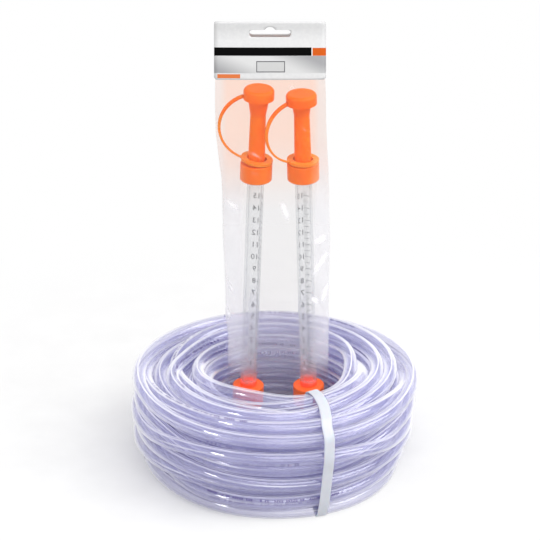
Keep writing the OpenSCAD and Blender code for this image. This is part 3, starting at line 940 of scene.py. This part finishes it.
def card_material():
    made, tree = new_material("printed_card")
    place = object_place(tree)
    axes = axes_of(tree, place)
    front = maths(tree, "LESS_THAN", axes["Y"], BAG_Y * MM)

    def patch(edges, inset=0.0):
        left, right, low, high = edges
        across = between(tree, axes["X"], *metres((left + inset, right - inset)))
        upright = between(tree, axes["Z"], *metres((low + inset, high - inset)))
        return times(tree, times(tree, across, upright), front)

    fibre = noise_value(tree, place, scale=500.0)
    slope = maths(tree, "ADD", times(tree, axes["X"], SWEEP_X), times(tree, axes["Z"], SWEEP_Z))
    sweep = node(tree, "TexWave", {"Vector": node(tree, "CombineXYZ", {"X": slope}).outputs[0], "Scale": 0.33,
                                   "Distortion": 1.5, "Phase Offset": 2.2}, wave_profile="SIN").outputs["Fac"]
    greys = two_tone(tree, sweep, *BAND_GREYS, low=0.1, high=0.9)
    colour = mixed(tree, patch(BAND), two_tone(tree, fibre, *CARD_WHITES), greys)
    for edges, inset, ink_colour in PRINTS:
        colour = mixed(tree, patch(edges, inset), colour, ink_colour)
    set_surface(tree, plastic(tree, {
        "Base Color": colour, "Roughness": ranged(tree, fibre, low=0.4, high=0.55),
        "Specular IOR Level": 0.02, "Normal": bumped(tree, fibre, strength=0.05, distance=0.0002)}))
    return made


def floor_material():
    """White to the eye away from the object, and a lit white floor that takes its shadow close by, save ahead
    towards the front right, where painted light whitens most of that shadow.
    """
    made, tree = new_material("floor")
    place = object_place(tree)
    far = ramp(tree, vectors(tree, "LENGTH", place)["Value"], WHITE_FROM_M)
    # Painted light over the shadow ahead of the object
    ahead = vectors(tree, "DOT_PRODUCT", place, PAINTED_LIGHT_WAY)["Value"]
    painted_white_ahead = ramp(tree, ahead, PAINTED_LIGHT_FROM_M, 0.0, PAINTED_LIGHT_SHARE)
    seen = seen_rays(tree)
    grain = noise_value(tree, place, scale=30.0)
    lit = node(tree, "BsdfDiffuse", {"Color": two_tone(tree, grain, *FLOOR_GREYS)}).outputs[0]
    lift = node(tree, "Emission", {"Color": WHITE, "Strength": times(tree, seen, FLOOR_LIFT)}).outputs[0]
    near = node(tree, "AddShader", {0: lit, 1: lift}).outputs[0]
    white = node(tree, "Emission", {"Color": WHITE, "Strength": 1.0}).outputs[0]
    blend = times(tree, seen, larger(tree, far, painted_white_ahead))
    set_surface(tree, node(tree, "MixShader", {"Fac": blend, 1: near, 2: white}).outputs[0])
    return made


# The strap: a tape drawn tight round the bundle, slanting across its front

def hull(points):
    """Corners of the outline drawn tight round flat points, in order."""
    points = sorted(map(tuple, points))

    def half(run):
        out = []
        for p in run:
            while len(out) > 1 and ((out[-1][0] - out[-2][0]) * (p[1] - out[-2][1])
                                    - (out[-1][1] - out[-2][1]) * (p[0] - out[-2][0])) <= 0:
                out.pop()
            out.append(p)
        return out[:-1]
    return np.array(half(points) + half(points[::-1]))


def strap_line(hose_path):
    """Middle line of the strap's inner face, and the direction out of it."""
    plane = np.mod(azimuths(len(hose_path)) - STRAP_AZIMUTH + 180, 360) - 180
    near = hose_path[np.abs(plane) < STRAP_REACH]
    angles = np.linspace(0, 2 * math.pi, RIM_POINTS, endpoint=False)
    rim = (HOSE_D / 2 + STRAP_GAP) * np.stack([np.cos(angles), np.sin(angles)], -1)
    corners = hull((near[:, None] + rim[None]).reshape(-1, 2))
    closed = np.concatenate([corners, corners[:1]])
    lengths = run_lengths(closed)
    s = np.linspace(0, lengths[-1], STRAP_STEPS, endpoint=False)
    flat = np.stack([np.interp(s, lengths, closed[:, k]) for k in range(2)], -1)
    for _ in range(STRAP_EASE_ROUNDS):
        flat = (np.roll(flat, 1, 0) + 2 * flat + np.roll(flat, -1, 0)) / 4
    r_share = np.clip((flat[:, 0] - TURN_IN) / (TURN_OUT - TURN_IN), 0, 1)
    z_share = np.clip((flat[:, 1] - TURN_LOW) / (TURN_HIGH - TURN_LOW), 0, 1)
    low = STRAP_ANGLES["in_low"] * (1 - r_share) + STRAP_ANGLES["out_low"] * r_share
    high = STRAP_ANGLES["in_high"] * (1 - r_share) + STRAP_ANGLES["out_high"] * r_share
    azimuth = np.radians(low * (1 - z_share) + high * z_share - 90)
    step = np.roll(flat, -1, 0) - np.roll(flat, 1, 0)
    normal = unit_rows(np.stack([step[:, 1], -step[:, 0]], -1))
    normal *= np.sign(((flat - flat.mean(0)) * normal).sum(1))[:, None]
    round_z = np.stack([np.cos(azimuth), np.sin(azimuth)], -1)
    line = np.concatenate([flat[:, :1] * round_z, flat[:, 1:]], 1)
    out = np.concatenate([normal[:, :1] * round_z, normal[:, 1:]], 1)
    return line, out


def make_strap(hose_path):
    line, out = strap_line(hose_path)
    ahead = unit_rows(np.roll(line, -1, 0) - np.roll(line, 1, 0))
    across = unit_rows(np.cross(out, ahead))
    inner_edge, outer_edge = STRAP_EDGE_SHARES

    def row(share, depth):
        return line + across * STRAP_W * share + out * STRAP_T * depth
    section = [row(k, outer_edge if abs(k) == 0.5 else 1) for k in STRAP_SHARES]
    section += [row(k, inner_edge if abs(k) == 0.5 else 0) for k in STRAP_SHARES[::-1]]
    sides = len(section)
    points = np.stack(section, 1).reshape(-1, 3)
    points[:, 2] = np.maximum(points[:, 2], STRAP_LIFT)
    faces = grid_faces(STRAP_STEPS, sides)
    last = (STRAP_STEPS - 1) * sides
    faces += [(last + k, last + (k + 1) % sides, (k + 1) % sides, k) for k in range(sides)]
    strap = mesh_object("strap", points, faces)
    fix_normals(strap)
    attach(strap, "coil")
    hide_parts("strap_band")
    dress(strap, strap_material())


# The indicators

def stand(side):
    """The tip of one indicator's hose barb and its three directions, in millimetres."""
    joint = next(j for j in frame["joints"] if j["name"] == side + "_stopper_pull")
    up = np.array(joint["axis"], float)
    low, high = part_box(side + "_tube")
    middle = np.array((low + high) / 2) / MM
    return middle - TUBE_MID * up, np.array([up[2], 0, -up[0]]), np.array([0, 1, 0]), up


def to_frame(side, points):
    foot, across, depth, up = stand(side)
    points = np.asarray(points, float)
    return foot + points[:, :1] * across + points[:, 1:2] * depth + points[:, 2:] * up


def rounded(value, power):
    """A sine or cosine drawn towards its ends, for a section between an oval and a box."""
    return np.sign(value) * abs(value) ** power


def make_tether(side, material):
    """A moulded strap that loops from the ring on the spout to the stopper's lower edge."""
    low = TETHER_LOW[side]
    high = STOPPER_LOW + (LEFT_PROUD if side == "left" else 0) + TETHER_JOIN
    half, sag = (high - low) / 2, TETHER_REACH - TETHER_END
    bend = (half ** 2 + sag ** 2) / (2 * sag)
    sweep = math.atan2(half, bend - sag)
    share = np.linspace(0, 1, TETHER_STEPS)
    angle = math.pi + sweep * (1 - 2 * share)
    line = np.stack([bend - TETHER_REACH + bend * np.cos(angle), low + half + bend * np.sin(angle)], -1)
    rate, delay = TETHER_SWELL_SHARES
    thick = np.interp(smoothstep(share * rate + delay), (0, 1), TETHER_THICK) / 2
    wide = np.interp(share, (0, 1), TETHER_WIDE) / 2
    turn = math.radians(TETHER_TURN[side])
    points = []
    for (x, z), a, t, w in zip(line, angle, thick, wide):
        for k in range(TETHER_SIDES):
            b = 2 * math.pi * k / TETHER_SIDES
            out = t * rounded(math.cos(b), TETHER_POWER)
            y = w * rounded(math.sin(b), TETHER_POWER)
            px = x + out * math.cos(a)
            points.append((px * math.cos(turn) - y * math.sin(turn), px * math.sin(turn) + y * math.cos(turn),
                           z + out * math.sin(a)))
    faces = grid_faces(TETHER_STEPS, TETHER_SIDES)
    last = (TETHER_STEPS - 1) * TETHER_SIDES
    faces += [tuple(range(TETHER_SIDES)), tuple(range(last, last + TETHER_SIDES))]
    tether = mesh_object(side + "_tether", to_frame(side, points), faces)
    fix_normals(tether)
    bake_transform(tether)
    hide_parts(side + "_tether_strap")
    dress(tether, material)


def digit_mesh(number):
    """Flat outline of a number, centred on its own middle, with its thickness, in millimetres."""
    curve = bpy.data.curves.new("digits", "FONT")
    curve.body = str(number)
    curve.size = DIGIT_SIZE
    curve.align_x = "CENTER"
    curve.align_y = "CENTER"
    curve.extrude = PRINT_T
    curve.offset = DIGIT_BOLD
    curve.resolution_u = 3
    text = add_object("digits", curve)
    mesh = final_mesh(text)
    points = np.array([v.co for v in mesh.vertices], float)
    faces = [tuple(p.vertices) for p in mesh.polygons]
    bpy.data.objects.remove(text)
    bpy.data.curves.remove(curve)
    bpy.data.meshes.remove(mesh)
    return points, faces


def tick_mesh(length, width):
    """A mark that runs to the left from its own zero, in steps so that it can bend round the tube."""
    points = [(-length * k / (TICK_STEPS - 1), s * width / 2, t) for k in range(TICK_STEPS)
              for s, t in ((-1, -PRINT_T), (1, -PRINT_T), (1, PRINT_T), (-1, PRINT_T))]
    faces = grid_faces(TICK_STEPS, 4) + [(0, 1, 2, 3), tuple(4 * (TICK_STEPS - 1) + k for k in range(4))]
    return np.array(points), faces


def make_scale(side, digits, material):
    """Centimetre numbers and millimetre marks, printed round the back of the tube."""
    points, faces, count = [], [], 0

    def put(part, x, z):
        nonlocal count
        flat, part_faces = part
        r = TUBE_R + PRINT_LIFT + flat[:, 2]
        angle = (flat[:, 0] + x + PRINT_TURN[side]) / TUBE_R
        points.append(np.stack([-r * np.sin(angle), r * np.cos(angle), flat[:, 1] + z], -1))
        faces.extend(tuple(i + count for i in f) for f in part_faces)
        count += len(flat)
    ticks = {size: tick_mesh(length, TICK_WIDTHS[size]) for size, length in TICK_LENGTHS.items()}
    for number in range(1, SCALE_COUNT + 1):
        put(digits[number], DIGIT_X, SCALE_ZERO + 10 * number)
    for mm in range(TICK_FIRST, 10 * SCALE_COUNT + TICK_PAST + 1):
        size = 10 if mm % 10 == 0 else 5 if mm % 5 == 0 else 1
        put(ticks[size], TICK_X, SCALE_ZERO + mm)
    scale = mesh_object(side + "_scale", to_frame(side, np.concatenate(points)), faces, smooth=False)
    fix_normals(scale)
    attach(scale, "indicator_pack")
    dress(scale, material)


def make_indicators():
    orange = orange_material("orange_polythene", *ORANGES, roughness=0.34)
    pale_orange = orange_material("pale_orange_polythene", *PALE_ORANGES, roughness=0.36)
    deep_orange = orange_material("deep_orange_polythene", *DEEP_ORANGES, roughness=0.34, soft=0.0)
    clear, rubber, ink = tube_material(), rubber_material(), ink_material()
    finishes = {"spout_cap": orange, "stopper": orange, "hose_fitting": deep_orange,
                "tether_ring": pale_orange, "tube": clear, "top_seal": rubber, "bottom_seal": rubber}
    digits = {number: digit_mesh(number) for number in range(1, SCALE_COUNT + 1)}
    for side in SIDES:
        for part, finish in finishes.items():
            dress(frame["nodes"][side + "_" + part], finish)
        make_tether(side, pale_orange)
        make_scale(side, digits, ink)


# The bag: a lofted sleeve of film, creased between the things that it holds

def crease(x, z, seed):
    """Sharp-crested folds between 0 and 1."""
    value = noise.noise(Vector((x, z, seed)))
    return (1 - min(1, abs(value) * CREASE_NARROW)) ** 3


def wrinkle(x, z, side):
    """How far the film stands out, by its share of the way across, its height and its side."""
    soft = noise.noise(Vector((x * 2.2 + side * 9, z / 70, 1.7)))
    sharp = crease(x * 2.6 + z / 55 + side * 5, z / 60 - x * 1.2, 4.2)
    fine = crease(x * 5 - z / 40 + side * 3, z / 45, 8.8)
    return SWELL * soft - SHARP_CREASE * sharp - FINE_CREASE * fine


def make_bag():
    points = []
    for z in np.linspace(BAG_LEVELS[0], BAG_LEVELS[-1], BAG_ROWS):
        left, right, deep = (np.interp(z, BAG_LEVELS, row) for row in (BAG_LEFT, BAG_RIGHT, BAG_HALF_DEPTH))
        below_card = smoothstep((CARD_LOW + CARD_GRIP - z) / CARD_GRIP_SPAN)
        free = float(smoothstep((z - FREE_Z) / FREE_SPAN) * below_card)
        for k in range(BAG_COLUMNS):
            a = 2 * math.pi * k / BAG_COLUMNS
            x = rounded(math.cos(a), 2 / BAG_POWER)
            y = rounded(math.sin(a), 2 / BAG_POWER)
            side = np.sign(y)
            seed = 12.3 + (3 if x > 0 else 0)
            edge = free * EDGE_WANDER * noise.noise(Vector((side * 0.1, z / 38, seed)))
            points.append(((left + right) / 2 + x * ((right - left) / 2 + edge),
                           BAG_Y + y * (deep + free * wrinkle(x, z, side)), z))
    faces = grid_faces(BAG_ROWS, BAG_COLUMNS)
    faces.append(tuple(range(BAG_COLUMNS)))
    bag = mesh_object("bag", points, faces)
    fix_normals(bag)
    thick = bag.modifiers.new("film", "SOLIDIFY")
    thick.thickness = FILM_T * MM
    thick.offset = -1
    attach(bag, "indicator_pack")
    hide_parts("bag_film")
    dress(bag, film_material())


# The header card

def card_profile():
    """The leaf's section as depth and height, from the front's low edge over the fold to the back's."""
    share = np.linspace(0, 1, CARD_ROWS)
    depth = np.interp(share, CARD_SHARES, CARD_DEPTHS)
    for _ in range(CARD_EASE_ROUNDS):
        ease(depth, 0.5)
    front = np.stack([-depth, CARD_LOW + (CARD_TOP - CARD_LOW - FOLD_R) * share], -1)
    fold = arc(0, CARD_TOP - FOLD_R, FOLD_R, 180, 0, FOLD_POINTS + 2)[1:-1]
    return np.concatenate([front, fold, front[::-1] * [-1, 1]])


def slot_cutter():
    """A bar through both leaves in the slot's outline: round ends and a raised middle."""
    end_r, bump_r = SLOT_H / 2, BUMP_W / 2
    straight = SLOT_W / 2 - end_r
    rise = math.degrees(math.asin(min(1, (bump_r - BUMP_H) / bump_r)))
    outline = arc(straight, 0, end_r, -90, 90, SLOT_POINTS)
    outline += arc(0, end_r + BUMP_H - bump_r, bump_r, rise, 180 - rise, BUMP_POINTS)
    outline += arc(-straight, 0, end_r, 90, 270, SLOT_POINTS)
    count = len(outline)
    points = [(CARD_X + x, BAG_Y + y, SLOT_MID + z) for y in (-CUT_REACH, CUT_REACH) for x, z in outline]
    faces = [tuple(range(count)), tuple(range(2 * count - 1, count - 1, -1))]
    faces += [(k, (k + 1) % count, count + (k + 1) % count, count + k) for k in range(count)]
    cutter = mesh_object("slot_cutter", points, faces, smooth=False)
    fix_normals(cutter)
    return cutter


def make_card():
    profile = card_profile()
    points = []
    for y, z in profile:
        dip = max(0, CARD_CORNER - min(CARD_TOP - z, z - CARD_LOW))
        half = CARD_W / 2 - (CARD_CORNER - math.sqrt(max(0, CARD_CORNER ** 2 - dip ** 2)))
        for x in np.linspace(-half, half, CARD_COLUMNS):
            bow = CARD_BOW * (1 - (2 * x / CARD_W) ** 2) * (CARD_TOP - z) / (CARD_TOP - CARD_LOW)
            points.append((CARD_X + x, BAG_Y + y + np.sign(y) * bow, z))
    card = mesh_object("card", points, grid_faces(len(profile), CARD_COLUMNS, closed=False))
    fix_normals(card)
    thick = card.modifiers.new("board", "SOLIDIFY")
    thick.thickness = CARD_T * MM
    thick.offset = 0
    cutter = slot_cutter()
    cut = card.modifiers.new("slot", "BOOLEAN")
    cut.object = cutter
    cut.operation = "DIFFERENCE"
    cut.solver = "EXACT"
    mesh = final_mesh(card)
    card.modifiers.clear()
    card.data = mesh
    bpy.data.objects.remove(cutter)
    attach(card, "indicator_pack")
    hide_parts("header_card")
    dress(card, card_material())
    # The photo's light is so soft that the card throws no shadow on the stoppers
    card.visible_shadow = False


# Light, floor and background

def make_stage():
    half = FLOOR_M / 2 / MM
    floor = mesh_object("floor", [(-half, -half, 0), (half, -half, 0), (half, half, 0), (-half, half, 0)],
                        [(0, 1, 2, 3)], smooth=False)
    dress(floor, floor_material())
    for name, place, target, size, power in LAMPS:
        data = bpy.data.lights.new(name, "AREA")
        data.size = size
        data.energy = power
        aim(add_object(name, data), place, Vector(target) - Vector(place))
    world = bpy.data.worlds.new("studio")
    world.use_nodes = True
    tree = world.node_tree
    tree.nodes.clear()
    level = topped(tree, WORLD_LEVEL, seen_rays(tree), 1 - WORLD_LEVEL)
    sky = node(tree, "Background", {"Color": WHITE, "Strength": level}).outputs[0]
    node(tree, "OutputWorld", {"Surface": sky})
    scene.world = world
    scene.view_settings.view_transform = "Standard"
    scene.cycles.transparent_max_bounces = CLEAR_LAYERS


make_camera()
make_strap(make_hose())
make_indicators()
make_bag()
make_card()
make_stage()
